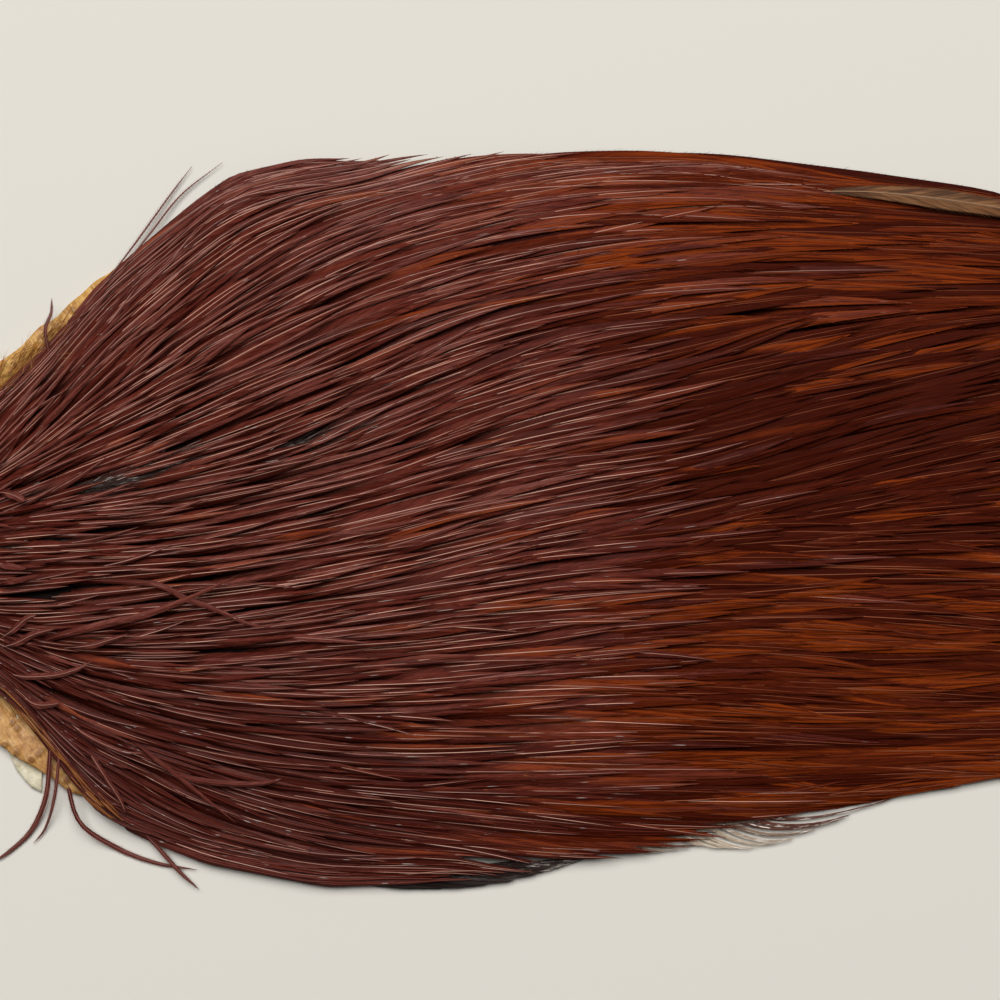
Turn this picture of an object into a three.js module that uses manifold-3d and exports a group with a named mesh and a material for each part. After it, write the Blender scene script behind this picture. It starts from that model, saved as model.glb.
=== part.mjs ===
// Rooster cape: the dried skin of a rooster's neck, lying flesh side down, its hackles combed back.
// +X runs from the head end to the longest hackle tips, +Z is up, and the unit is the millimetre.
// The origin is the middle of the footprint, on the surface that the cape lies on.

import * as THREE from "three";
import { mergeVertices } from "three/addons/utils/BufferGeometryUtils.js";
import Module from "manifold-3d";

const wasm = await Module();
wasm.setup();

// Driving dimensions of the whole cape
const CAPE_LENGTH = 319;
const SKIN_LENGTH = 190;
const SKIN_THICKNESS = 1.0;
const CREST_HEIGHT = 17;
const CLEARANCE = 0.3;

// The head end and the cape's middle line, seen from the middle of the footprint
const HEAD_X = -CAPE_LENGTH / 2;
const MIDDLE_Y = -1.2;

// A smooth value along the cape, from pairs of distance from the head end and value
function profile(pairs) {
  const stations = pairs.map((pair) => pair[0]);
  const values = pairs.map((pair) => pair[1]);
  const interpolant = new THREE.CubicInterpolant(stations, values, 1);
  const last = stations[stations.length - 1];
  return (along) => interpolant.evaluate(THREE.MathUtils.clamp(along, stations[0], last))[0];
}

// Half widths of the feathered outline, from the middle line to the far and the near edge
const coatFarSide = profile([
  [0, 6], [8, 14], [24, 24], [46, 37], [57, 45.5], [68, 57.5], [84, 75], [100, 81], [130, 83.5],
  [160, 83], [204, 78], [247, 70], [269, 66], [CAPE_LENGTH, 60],
]);
const coatNearSide = profile([
  [0, 6], [8, 14], [24, 22], [42, 31], [50, 42], [62, 60], [84, 70], [110, 76], [145, 77.5],
  [180, 74], [214, 67.5], [260, 66], [CAPE_LENGTH, 58],
]);

// Half widths of the skin, which shows past the feathers on both sides of the head end
const skinFarSide = profile([
  [0, 7], [6, 15], [24, 30], [47, 44], [57, 51.4], [68, 60], [82, 67], [110, 70], [145, 69],
  [168, 60], [182, 42], [190, 18],
]);
const skinNearSide = profile([
  [0, 7], [6, 15], [24, 30], [41, 43.3], [50, 50.3], [60, 59], [72, 64.5], [110, 68], [145, 66],
  [168, 57], [182, 40], [190, 18],
]);

// Height of the coat along its crest, and at its outer edge, as shares of the greatest height
const crestShare = profile([
  [0, 0.22], [20, 0.5], [60, 0.82], [115, 1], [160, 0.95], [200, 0.68], [240, 0.38], [280, 0.2], [319, 0.1],
]);
const edgeShare = profile([
  [0, 0.24], [60, 0.22], [90, 0.16], [150, 0.11], [250, 0.07], [319, 0.05],
]);

// How sharply the coat falls from its flat crest to its edges
const CROWN_POWER = 2.4;

const coatHalfWidth = (along, across) => (across < 0 ? coatNearSide(along) : coatFarSide(along));
const skinHalfWidth = (along, across) => (across < 0 ? skinNearSide(along) : skinFarSide(along));

// Height of the coat's surface at a share across it, from -1 at the near edge to 1 at the far edge
function coatHeight(along, across) {
  const fall = Math.min(Math.abs(across), 1) ** CROWN_POWER;
  return CREST_HEIGHT * THREE.MathUtils.lerp(crestShare(along), edgeShare(along), fall);
}

// A point of the cape from its distance behind the head end, its offset sideways and its height
function capePoint(along, sideways, height) {
  return new THREE.Vector3(HEAD_X + along, MIDDLE_Y + sideways, height);
}

// The same draw on every run
function seededDraw(seed) {
  let state = seed;
  return (low, high) => {
    state = (state * 1664525 + 1013904223) % 4294967296;
    return low + (high - low) * (state / 4294967296);
  };
}

// Even steps from one value to another, both ends included
function steps(from, to, count) {
  return Array.from({ length: count + 1 }, (_, index) => from + ((to - from) * index) / count);
}

// A closed body through loops of points that run anticlockwise seen from the first loop's outside
function loft(loops) {
  const size = loops[0].length;
  const indices = [];
  for (let loop = 0; loop < loops.length - 1; loop += 1) {
    for (let corner = 0; corner < size; corner += 1) {
      const next = (corner + 1) % size;
      const here = loop * size;
      const beyond = here + size;
      indices.push(here + corner, beyond + corner, beyond + next);
      indices.push(here + corner, beyond + next, here + next);
    }
  }
  const end = (loops.length - 1) * size;
  for (let corner = 1; corner < size - 1; corner += 1) {
    indices.push(0, corner, corner + 1);
    indices.push(end, end + corner + 1, end + corner);
  }
  const geometry = new THREE.BufferGeometry().setFromPoints(loops.flat());
  geometry.setIndex(indices);
  return geometry;
}

// A closed body between an upper and a lower sheet. Both are rows of points that start at the head
// end, and each row runs from the near edge to the far edge.
function slab(upper, lower) {
  const across = upper[0].length;
  const points = [...upper.flat(), ...lower.flat()];
  const low = upper.length * across;
  const indices = [];
  const quad = (a, b, c, d) => indices.push(a, b, c, a, c, d);
  for (let row = 0; row < upper.length - 1; row += 1) {
    for (let place = 0; place < across - 1; place += 1) {
      const here = row * across + place;
      quad(here, here + across, here + across + 1, here + 1);
      quad(low + here, low + here + 1, low + here + across + 1, low + here + across);
    }
    const near = row * across;
    const far = near + across - 1;
    quad(near, low + near, low + near + across, near + across);
    quad(far, far + across, low + far + across, low + far);
  }
  const last = (upper.length - 1) * across;
  for (let place = 0; place < across - 1; place += 1) {
    quad(place, place + 1, low + place + 1, low + place);
    quad(last + place, low + last + place, low + last + place + 1, last + place + 1);
  }
  const geometry = new THREE.BufferGeometry().setFromPoints(points);
  geometry.setIndex(indices);
  return geometry;
}

function toSolid(geometry) {
  const bare = geometry.clone();
  bare.deleteAttribute("normal");
  bare.deleteAttribute("uv");
  const merged = mergeVertices(bare);
  const vertProperties = new Float32Array(merged.attributes.position.array);
  const triVerts = new Uint32Array(merged.index.array);
  return new wasm.Manifold(new wasm.Mesh({ numProp: 3, vertProperties, triVerts }));
}

function toGeometry(solid) {
  const mesh = solid.getMesh();
  const geometry = new THREE.BufferGeometry();
  geometry.setAttribute("position", new THREE.BufferAttribute(new Float32Array(mesh.vertProperties), 3));
  geometry.setIndex(new THREE.BufferAttribute(new Uint32Array(mesh.triVerts), 1));
  return geometry;
}

// Skin: dried hard in the shape it was pinned out in. It lies flat except where its two bare edges
// beside the head end have curled up a little. A grown copy makes the room that the coat leaves it.
const SKIN_CURL = { height: 1.6, centre: 40, spread: 15, start: 0.8 };
const SKIN_STEPS = 24;

// The sides of the room run at a slant to the edge, so they stand this much further off
const SLANT_ALLOWANCE = 1.8;

function skinLift(along, across) {
  const nearCurl = ((along - SKIN_CURL.centre) / SKIN_CURL.spread) ** 2;
  const towardsEdge = THREE.MathUtils.smoothstep(Math.abs(across), SKIN_CURL.start, 1);
  return SKIN_CURL.height * Math.exp(-nearCurl) * towardsEdge;
}

function skinSheet(grow) {
  const across = [-1, -0.93, -0.86, -0.78, -0.5, 0, 0.5, 0.78, 0.86, 0.93, 1];
  const room = SLANT_ALLOWANCE * grow;
  const sheet = (height, curled) =>
    steps(0, SKIN_LENGTH, SKIN_STEPS).map((along, row) => {
      const end = row === 0 ? -room : row === SKIN_STEPS ? room : 0;
      return across.map((share) => {
        const sideways = share * (skinHalfWidth(along, share) + room);
        return capePoint(along + end, sideways, height + (curled ? skinLift(along, share) : 0));
      });
    });
  return toSolid(slab(sheet(SKIN_THICKNESS + grow, true), sheet(-grow, grow === 0)));
}

// The thin membrane left on the near edge of the skin
const FLAP_OUTLINE = [[43, -34], [41.5, -44.5], [43, -48.5], [46, -52.4], [48.2, -53.6], [48.4, -51], [50, -36]];
const FLAP_LIFT = 0.15;
const FLAP_THICKNESS = 0.5;

function membraneFlap() {
  const outline = FLAP_OUTLINE.map(([along, sideways]) => new THREE.Vector2(along, sideways));
  const sheet = new THREE.ExtrudeGeometry(new THREE.Shape(outline), {
    depth: FLAP_THICKNESS,
    bevelEnabled: false,
  });
  sheet.translate(HEAD_X, MIDDLE_Y, FLAP_LIFT);
  return toSolid(sheet);
}

// A single hackle is a blade with a ridge along its quill, tapered at both ends. The room that the
// coat leaves it goes down to the surface that the cape lies on.
const FEATHER_RISE = 0.35;
const FEATHER_STEPS = 12;

function hackle(feather, grow) {
  const route = new THREE.CatmullRomCurve3(feather.route.map((point) => capePoint(...point)));
  const loops = steps(0, 1, FEATHER_STEPS).map((share) => {
    const heading = route.getTangent(share).setZ(0).normalize();
    const side = new THREE.Vector3(-heading.y, heading.x, 0);
    const onEnd = share === 0 ? -1 : share === 1 ? 1 : 0;
    const quill = route.getPoint(share).addScaledVector(heading, onEnd * grow);
    const fullness = Math.sin(Math.PI * (0.12 + 0.82 * share)) ** 0.7;
    const breadth = feather.breadth * fullness + grow;
    const corner = (sideways, height) => quill.clone().addScaledVector(side, sideways).setZ(height);
    if (grow > 0) {
      return [
        corner(-breadth, -grow),
        corner(-breadth, quill.z + grow),
        corner(0, quill.z + FEATHER_RISE + grow),
        corner(breadth, quill.z + grow),
        corner(breadth, -grow),
      ];
    }
    return [
      corner(-breadth, quill.z),
      corner(0, quill.z + FEATHER_RISE),
      corner(breadth, quill.z),
      corner(0, quill.z - FEATHER_RISE),
    ];
  });
  return toSolid(loft(loops));
}

// The hackles lie along the cape in locks, each a raised ridge that comes out from under the lock
// before it and runs down to its own pointed tip. Neighbouring locks start at different places.
const LOCKS_ACROSS = 22;
const LOCK_LENGTH = 78;
const LOCK_RELIEF = 1.7;
const FURROW_DEPTH = 1.1;
const LOCK_STEPS = 34;
const COAT_START = 2;
const EDGE_SHARE = 0.965;
const EDGE_RAGGED = 0.035;

// The outermost tips fall back from the middle ones by this much, and the furrows between the last
// locks end short of their tips
const TAIL_ROUND = 52;
const TAIL_NOTCH = 15;

// How far a lock has risen at a share of its length: it starts low, and ends in a step down
function lockRise(share) {
  const emerging = THREE.MathUtils.smoothstep(share, 0, 0.4);
  const tapering = THREE.MathUtils.smoothstep(share, 0.6, 1);
  return THREE.MathUtils.lerp(-0.5, 1, emerging) - 0.55 * tapering;
}

function coatSolid() {
  const draw = seededDraw(7);
  const lines = steps(-1, 1, 2 * LOCKS_ACROSS).map((across, index) => {
    const ridge = index % 2 === 1;
    const onEdge = index === 0 || index === 2 * LOCKS_ACROSS;
    const start = draw(0, 1);
    const fallBack = TAIL_ROUND * Math.abs(across) ** 3 + (ridge ? draw(0, 8) : TAIL_NOTCH);
    const longest = index === LOCKS_ACROSS + 1;
    return { across, ridge, onEdge, start, tail: CAPE_LENGTH - (longest ? 0 : fallBack) };
  });
  const sheet = (isUpper) =>
    steps(0, 1, LOCK_STEPS).map((share) =>
      lines.map((line) => {
        const even = THREE.MathUtils.lerp(COAT_START, CAPE_LENGTH, share);
        const along = even + (line.tail - CAPE_LENGTH) * share ** 4;
        const rise = lockRise((along / LOCK_LENGTH + line.start) % 1);
        const across = line.across * (EDGE_SHARE + (line.onEdge ? EDGE_RAGGED * (rise - 0.5) : 0));
        const sideways = across * coatHalfWidth(along, across);
        const level = coatHeight(along, across);
        const relief = Math.min(1, level / 5) * (line.ridge ? LOCK_RELIEF * rise : -FURROW_DEPTH);
        return capePoint(along, sideways, isUpper ? level + relief : 0);
      }),
    );
  return toSolid(slab(sheet(true), sheet(false)));
}

// Single feathers that stand clear of the coat. Each route gives the distance behind the head end,
// the offset sideways and the height of the quill, from the root to the tip.
const LOOSE_FEATHERS = {
  stray_hackle_long: {
    breadth: 0.8,
    route: [[52, -37, 3.4], [51, -45.6, 3.2], [49.4, -54.4, 2.4], [45.4, -61.8, 0.7], [39.8, -66.5, 0.6], [35, -69, 0.6]],
  },
  stray_hackle_thin: {
    breadth: 0.5,
    route: [[53.4, -40, 3.6], [53, -47, 4.2], [51.4, -55, 3.4], [48.6, -61.5, 0.9], [45.5, -65, 0.5]],
  },
  stray_hackle_side: {
    breadth: 0.8,
    route: [[54.5, -50, 4.4], [56.7, -60.3, 3.6], [64.1, -67, 0.8], [72.7, -71, 0.6], [82, -73.2, 0.6]],
  },
  stray_hackle_crossed: {
    breadth: 0.7,
    route: [[70, -63, 2.4], [74, -68, 2.2], [78, -73.2, 1.8], [82, -77.6, 0.9]],
  },
  stray_hackle_upper: {
    breadth: 0.5,
    route: [[57, 43, 4.2], [56.5, 48.8, 5], [57.9, 52.7, 4.6], [58.1, 56.2, 3.2]],
  },
  edge_hackle_outer: {
    breadth: 0.9,
    route: [[71, 61, 4.2], [79.5, 72.5, 1.4], [85, 79, 0.7], [91, 84, 0.6]],
  },
  edge_hackle_inner: {
    breadth: 0.9,
    route: [[76, 63, 4], [85, 76.5, 1.4], [92, 81.5, 0.7], [100, 84.4, 0.6]],
  },
  black_underfeather: {
    breadth: 3.2,
    route: [[112, -70, 1.2], [123, -75.2, 0.8], [136, -77.4, 0.7], [150, -78.2, 0.7], [160, -78, 0.7], [168, -77.2, 0.6]],
  },
  grey_underfeather_front: {
    breadth: 1.8,
    route: [[166, -68.5, 1], [175, -72.8, 0.7], [185, -74.4, 0.6], [197, -74.2, 0.6]],
  },
  grey_underfeather_back: {
    breadth: 2.2,
    route: [[190, -64, 1], [202, -69, 0.7], [215, -70.4, 0.6], [228, -69, 0.6], [241, -66.4, 0.6]],
  },
};

function part(name, solid, color, roughness) {
  const material = new THREE.MeshStandardMaterial({ color, roughness, metalness: 0 });
  const mesh = new THREE.Mesh(toGeometry(solid), material);
  mesh.name = name;
  return mesh;
}

const cape = new THREE.Group();
const featherColors = { stray: 0x6e3a30, edge: 0x5c2c24, black: 0x2c1c1a, grey: 0x8f7a6c };

cape.add(part("skin", skinSheet(0).add(membraneFlap()), 0xb98a52, 0.6));

let coat = coatSolid().subtract(skinSheet(CLEARANCE));
for (const [name, feather] of Object.entries(LOOSE_FEATHERS)) {
  coat = coat.subtract(hackle(feather, CLEARANCE));
  cape.add(part(name, hackle(feather, 0), featherColors[name.split("_")[0]], 0.5));
}
cape.add(part("hackle_coat", coat, 0x5a2a22, 0.45));

export default cape;
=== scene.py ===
import math

import bpy
import numpy as np
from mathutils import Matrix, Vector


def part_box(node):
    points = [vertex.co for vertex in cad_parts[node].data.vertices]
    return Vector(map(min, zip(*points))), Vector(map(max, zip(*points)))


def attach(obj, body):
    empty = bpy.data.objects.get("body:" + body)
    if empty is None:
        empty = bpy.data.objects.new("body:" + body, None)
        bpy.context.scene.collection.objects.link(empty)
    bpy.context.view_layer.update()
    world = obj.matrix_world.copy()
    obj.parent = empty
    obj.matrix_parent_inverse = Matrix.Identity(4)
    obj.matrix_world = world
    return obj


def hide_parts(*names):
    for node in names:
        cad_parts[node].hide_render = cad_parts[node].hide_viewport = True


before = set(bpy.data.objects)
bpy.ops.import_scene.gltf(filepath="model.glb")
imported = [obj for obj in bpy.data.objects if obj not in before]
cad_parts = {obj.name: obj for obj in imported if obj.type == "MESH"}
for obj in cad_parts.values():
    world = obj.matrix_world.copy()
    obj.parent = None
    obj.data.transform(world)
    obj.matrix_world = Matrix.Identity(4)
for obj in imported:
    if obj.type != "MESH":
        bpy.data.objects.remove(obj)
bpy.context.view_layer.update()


# Skin
# One sheet of neck skin that was pinned out flat to dry, so it is hard, waxy and finely wrinkled, with
# a thin pale flap of membrane at its lower left edge. It lies flesh side down, and the ends of the
# quills stand out of that side as rows of pimples.
MM = 0.001
HEAD_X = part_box("skin")[0].x / MM
MIDDLE_Y = -1.2
SKIN_LENGTH = (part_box("skin")[1].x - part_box("skin")[0].x) / MM
SKIN_TOP = 0.85
CURL_HEIGHT = 1.6
CURL_CENTRE = 40.0
CURL_SPREAD = 15.0
FIRST_ROOT_ROW = 12
ROOT_ROWS = 30
ROOT_ROW_GAP = 5.6
ROOT_GAP = 4.2
ROOT_SHARE = 0.92
MEMBRANE_CENTRE = (46.2, -43.0)
MEMBRANE_FLAP = (
    (43, -34), (41.5, -44.5), (43, -48.5), (46, -52.4), (48.2, -53.6), (48.4, -51), (50, -36),
)


def profile(*pairs):
    """A smooth value along the cape, from pairs of millimetres behind the head end and value."""
    stations, values = np.array(pairs, float).T
    table = np.arange(-20.0, 345.0, 1.0)
    kernel = np.hanning(9)
    padded = np.pad(np.interp(table, stations, values), 4, mode="edge")
    smooth = np.convolve(padded, kernel / kernel.sum(), mode="valid")
    return lambda along: np.interp(along, table, smooth)


skin_far_side = profile(
    (0, 7), (6, 15), (24, 30), (47, 44), (57, 51.4), (68, 60), (82, 67), (110, 70), (145, 69),
    (168, 60), (182, 42), (190, 18),
)
skin_near_side = profile(
    (0, 7), (6, 15), (24, 30), (41, 43.3), (50, 50.3), (60, 57), (72, 62.5), (110, 68), (145, 66),
    (168, 57), (182, 40), (190, 18),
)


def cape_point(along, sideways, height):
    """A point from its distance behind the head end, its offset from the middle line and its height."""
    along, sideways, height = np.broadcast_arrays(along, sideways, height)
    return np.stack([HEAD_X + along, MIDDLE_Y + sideways, height], axis=-1)


def smoothstep(value, low, high):
    share = np.clip((value - low) / (high - low), 0, 1)
    return share * share * (3 - 2 * share)


def ripples(draw, x, y, wavelength, stretch, count=9):
    """Soft wandering ridges that cross x and run on along y, stretch times as long as they are wide."""
    total = np.zeros(np.broadcast(x, y).shape)
    for _ in range(count):
        angle = draw.normal(0, 0.5)
        pace = 2 * np.pi * draw.uniform(0.7, 1.4) / wavelength
        total += np.sin(pace * (x * math.cos(angle) + y * math.sin(angle) / stretch) + draw.uniform(0, 6.3))
    return total / math.sqrt(count)


def grid_faces(rows, columns, start=0):
    """Quads over a grid of points that is stored row by row."""
    corner = start + np.arange(rows * columns).reshape(rows, columns)
    quads = [corner[:-1, :-1], corner[1:, :-1], corner[1:, 1:], corner[:-1, 1:]]
    return np.stack([quad.ravel() for quad in quads], axis=-1)


def halve(quads):
    """Each quad as two triangles."""
    return np.concatenate([quads[:, [0, 1, 2]], quads[:, [0, 2, 3]]])


def join(parts):
    """Points, triangles and texture places of several meshes as one mesh."""
    points, faces, places, count = [], [], [], 0
    for part_points, part_faces, part_places in parts:
        part_points = np.reshape(part_points, (-1, 3))
        points.append(part_points)
        faces.append(np.asarray(part_faces) + count)
        places.append(np.reshape(part_places, (-1, 2)))
        count += len(part_points)
    return np.concatenate(points), np.concatenate(faces), np.concatenate(places)


def make_piece(name, surface, slot, replaced, points, triangles, places=None):
    """A mesh object from points in millimetres, which rides on the cape and stands for a CAD node."""
    mesh = bpy.data.meshes.new(name)
    mesh.vertices.add(len(points))
    mesh.vertices.foreach_set("co", (np.asarray(points) * MM).astype(np.float32).ravel())
    corners = np.asarray(triangles, np.int32)
    mesh.loops.add(corners.size)
    mesh.loops.foreach_set("vertex_index", corners.ravel())
    mesh.polygons.add(len(corners))
    mesh.polygons.foreach_set("loop_start", np.arange(0, corners.size, 3, dtype=np.int32))
    mesh.polygons.foreach_set("use_smooth", np.ones(len(corners), bool))
    if places is not None:
        layer = mesh.uv_layers.new(name="OFBake")
        layer.data.foreach_set("uv", np.asarray(places, np.float32)[corners.ravel()].ravel())
    mesh.update(calc_edges=True)
    mesh.materials.append(surface)
    piece = bpy.data.objects.new(name, mesh)
    bpy.context.scene.collection.objects.link(piece)
    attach(piece, "root")
    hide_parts(replaced)
    return piece


def paint(red, green, blue):
    """A colour as it is seen, 0 to 255, in the linear values that materials take."""
    seen = np.array([red, green, blue]) / 255
    linear = np.where(seen <= 0.04045, seen / 12.92, ((seen + 0.055) / 1.055) ** 2.4)
    return (*linear, 1.0)


class Surface:
    """A procedural material while it is being put together, node by node."""

    def __init__(self, name, roughness, specular):
        self.material = bpy.data.materials.new(name)
        self.material.use_nodes = True
        self.tree = self.material.node_tree
        self.shader = self.tree.nodes["Principled BSDF"]
        self.shader.inputs["Roughness"].default_value = roughness
        self.shader.inputs["Specular IOR Level"].default_value = specular

    def put(self, socket, value):
        if isinstance(value, bpy.types.NodeSocket):
            self.tree.links.new(value, socket)
        else:
            socket.default_value = value

    def node(self, kind, output, settings=None, **inputs):
        made = self.tree.nodes.new(kind)
        for key, value in (settings or {}).items():
            setattr(made, key, value)
        for key, value in inputs.items():
            self.put(made.inputs[key.replace("_", " ")], value)
        return made.outputs[output]

    def math(self, operation, *values):
        made = self.tree.nodes.new("ShaderNodeMath")
        made.operation = operation
        for socket, value in zip(made.inputs, values):
            self.put(socket, value)
        return made.outputs[0]

    def times(self, *values):
        product = values[0]
        for value in values[1:]:
            product = self.math("MULTIPLY", product, value)
        return product

    def place(self, x, y, z=0.0):
        return self.node("ShaderNodeCombineXYZ", 0, X=x, Y=y, Z=z)

    def split(self, place):
        return [self.node("ShaderNodeSeparateXYZ", axis, Vector=place) for axis in "XY"]

    def noise(self, place, scale=1.0, detail=3.0, roughness=0.55):
        return self.node(
            "ShaderNodeTexNoise", 0, Vector=place, Scale=scale, Detail=detail, Roughness=roughness
        )

    def stretched(self, x, y, x_scale, y_scale, detail, roughness=0.55, z=0.0):
        """Noise stretched by its own scale in each direction."""
        place = self.place(self.times(x, x_scale), self.times(y, y_scale), z)
        return self.noise(place, 1.0, detail, roughness)

    def rise(self, value, low, high, to_low=0.0, to_high=1.0):
        """A soft step of the value from to_low, at low, to to_high, at high."""
        return self.node(
            "ShaderNodeMapRange", 0, {"interpolation_type": "SMOOTHSTEP"}, Value=value,
            From_Min=low, From_Max=high, To_Min=to_low, To_Max=to_high,
        )

    def blend(self, factor, first, second):
        made = self.tree.nodes.new("ShaderNodeMix")
        made.data_type = "RGBA"
        for index, value in ((0, factor), (6, first), (7, second)):
            self.put(made.inputs[index], value)
        return made.outputs[2]

    def bump(self, height, strength, distance):
        relief = self.node("ShaderNodeBump", 0, Strength=strength, Distance=distance, Height=height)
        self.put(self.shader.inputs["Normal"], relief)

    def done(self, colour, roughness=None):
        self.put(self.shader.inputs["Base Color"], colour)
        if roughness is not None:
            self.put(self.shader.inputs["Roughness"], roughness)
        return self.material


def dried_skin_surface():
    surface = Surface("dried_skin", roughness=0.42, specular=0.4)
    place = surface.node("ShaderNodeTexCoord", "Object")
    x, y = surface.split(place)
    fat = surface.noise(place, 90.0, 4.0)
    mottle = surface.noise(place, 500.0, 5.0, 0.65)
    across_edge = surface.math("ADD", surface.times(x, 1500.0), surface.times(y, 900.0))
    along_edge = surface.math("SUBTRACT", surface.times(y, 180.0), surface.times(x, 260.0))
    crease = surface.noise(surface.place(across_edge, along_edge), 1.0, 4.0, 0.6)
    tan = surface.blend(surface.rise(mottle, 0.3, 0.7), paint(150, 98, 46), paint(196, 146, 84))
    yellow = surface.blend(surface.rise(mottle, 0.3, 0.7), paint(170, 114, 34), paint(212, 166, 84))
    waxy = surface.times(surface.rise(y, -0.01, 0.03), surface.rise(fat, 0.2, 0.55))
    colour = surface.blend(waxy, tan, yellow)
    # Painted highlight and shade: the skin is painted paler along the tops of the fine wrinkles and darker in
    # their creases, following the same wrinkles that the bump raises.
    colour = surface.blend(surface.rise(crease, 0.5, 0.75, 0.0, 0.55), colour, paint(228, 200, 150))
    colour = surface.blend(surface.rise(crease, 0.25, 0.45, 0.6, 0.0), colour, paint(122, 78, 38))
    flat_cells = {"voronoi_dimensions": "2D"}
    root = surface.node("ShaderNodeTexVoronoi", "Distance", flat_cells, Vector=place, Scale=240.0)
    colour = surface.blend(surface.rise(root, 0.1, 0.24, 0.55, 0.0), colour, paint(104, 62, 34))
    greasy = surface.noise(place, 35.0, 3.0)
    colour = surface.blend(surface.rise(greasy, 0.5, 0.7, 0.0, 0.45), colour, paint(214, 164, 70))
    height = surface.math("ADD", surface.times(mottle, 0.5), crease)
    surface.bump(surface.math("ADD", height, surface.rise(root, 0.08, 0.3, 0.8, 0.0)), 0.6, 0.0006)
    return surface.done(colour, surface.rise(fat, 0.3, 0.7, 0.34, 0.55))


def skin_lift(along, across):
    curl = np.exp(-(((along - CURL_CENTRE) / CURL_SPREAD) ** 2))
    return CURL_HEIGHT * curl * smoothstep(np.abs(across), 0.8, 1.0)


def skin_sheet(draw):
    share = np.linspace(-1, 1, 111)
    across = np.sign(share) * np.abs(share) ** 0.7
    along = np.linspace(0, SKIN_LENGTH, 140)[:, None]
    ragged = ripples(draw, along, 0 * across, 7.0, 1.0) * 0.35
    half = np.where(across < 0, skin_near_side(along), skin_far_side(along)) + ragged
    sideways = across * half
    lift = skin_lift(along, across)
    inner = 1 - smoothstep(np.abs(across), 0.93, 1.0)
    folds = ripples(draw, along + 0.6 * sideways, sideways - 0.6 * along, 3.0, 5.0)
    pits = ripples(draw, along, sideways, 1.4, 1.4)
    upper = lift + np.maximum(SKIN_TOP * (0.62 + 0.38 * inner) + (0.2 * folds + 0.06 * pits) * inner, 0.35)
    lower = np.maximum(lift * 0.95 + 0.2 + 0.04 * pits * inner, 0.02)
    upper_points = cape_point(along, sideways, upper).reshape(-1, 3)
    lower_points = cape_point(along, sideways, lower).reshape(-1, 3)
    rows, columns = len(along), len(across)
    count = rows * columns
    lines = (
        (np.arange(rows) * columns, False),
        (np.arange(rows) * columns + columns - 1, True),
        (np.arange(columns), True),
        (np.arange(count - columns, count), False),
    )
    sides = []
    for line, flip in lines:
        quads = np.stack([line[:-1], line[:-1] + count, line[1:] + count, line[1:]], axis=-1)
        sides.append(quads[:, ::-1] if flip else quads)
    faces = np.concatenate([grid_faces(rows, columns), grid_faces(rows, columns, count)[:, ::-1], *sides])
    points = np.concatenate([upper_points, lower_points])
    return points, halve(faces), np.zeros((len(points), 2))


def quill_ends(draw):
    """Pimples in slanting rows on the flesh side, as quills leave where they are rooted."""
    parts = []
    turn = np.linspace(0, 2 * np.pi, 7)[:-1]
    for row in range(ROOT_ROWS):
        row_place = FIRST_ROOT_ROW + row * ROOT_ROW_GAP
        reach = ROOT_SHARE * min(float(skin_far_side(row_place)), float(skin_near_side(row_place)))
        for column in range(int(2 * reach / ROOT_GAP)):
            along = row_place + draw.normal(0, 0.5)
            sideways = -reach + (column + 0.5 * (row % 2)) * ROOT_GAP + draw.normal(0, 0.4)
            size = draw.uniform(0.35, 0.6)
            rim = cape_point(along + size * np.cos(turn), sideways + size * np.sin(turn), 0.3)
            tip = cape_point(along, sideways, 0.03)
            first = np.arange(6)
            fan = np.stack([first, np.full(6, 6), (first + 1) % 6], axis=-1)
            parts.append((np.vstack([rim, tip]), fan, np.zeros((7, 2))))
    return join(parts)


def membrane_flap(draw):
    """The thin pale flap: its outline filled as a fan of rows, ruffled a little."""
    outline = np.array(MEMBRANE_FLAP, float)
    centre = np.array(MEMBRANE_CENTRE)
    turns = np.linspace(0, len(outline), 57)[:-1]
    rim = np.stack([np.interp(turns, np.arange(len(outline) + 1), np.append(line, line[0]))
                    for line in outline.T], axis=-1)
    shares = np.linspace(1, 0.02, 12)[:, None, None]
    spots = centre + (rim - centre) * shares
    closed = np.concatenate([spots, spots[:, :1]], axis=1)
    ruffle = 0.14 * ripples(draw, closed[..., 0], closed[..., 1], 3.5, 1.5)
    upper = cape_point(closed[..., 0], closed[..., 1], 0.62 + ruffle * 0.8)
    lower = cape_point(closed[..., 0], closed[..., 1], np.maximum(0.42 + ruffle * 0.8, 0.05))
    rows, columns = upper.shape[:2]
    faces = halve(grid_faces(rows, columns))
    edge = np.arange(columns)
    count = rows * columns
    wall = halve(np.stack([edge[:-1], edge[1:], edge[1:] + count, edge[:-1] + count], axis=-1))
    triangles = np.concatenate([faces[:, ::-1], faces + count, wall[:, ::-1]])
    return np.concatenate([upper.reshape(-1, 3), lower.reshape(-1, 3)]), triangles, np.zeros((2 * count, 2))


def membrane_surface():
    surface = Surface("membrane", roughness=0.35, specular=0.5)
    place = surface.node("ShaderNodeTexCoord", "Object")
    cloud = surface.noise(place, 300.0, 4.0)
    crease = surface.noise(place, 1400.0, 3.0)
    surface.bump(crease, 0.4, 0.0003)
    colour = surface.blend(surface.rise(cloud, 0.3, 0.7), paint(176, 164, 134), paint(218, 210, 186))
    return surface.done(colour)


SKIN_DRAW = np.random.default_rng(3)
skin_mesh = join([skin_sheet(SKIN_DRAW), quill_ends(SKIN_DRAW)])
make_piece("neck_skin", dried_skin_surface(), "dried_skin", "skin", *skin_mesh[:2])
make_piece("membrane_flap", membrane_surface(), "dried_skin", "skin", *membrane_flap(SKIN_DRAW)[:2])


# Down
# Soft dark grey fluff at the roots of the hackles. It fills the inside of the coat and shows only
# where the hackles part, as along the parting on the left.
CAPE_LENGTH = 319.0
CREST_HEIGHT = 17.0
CROWN_POWER = 2.4

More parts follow.
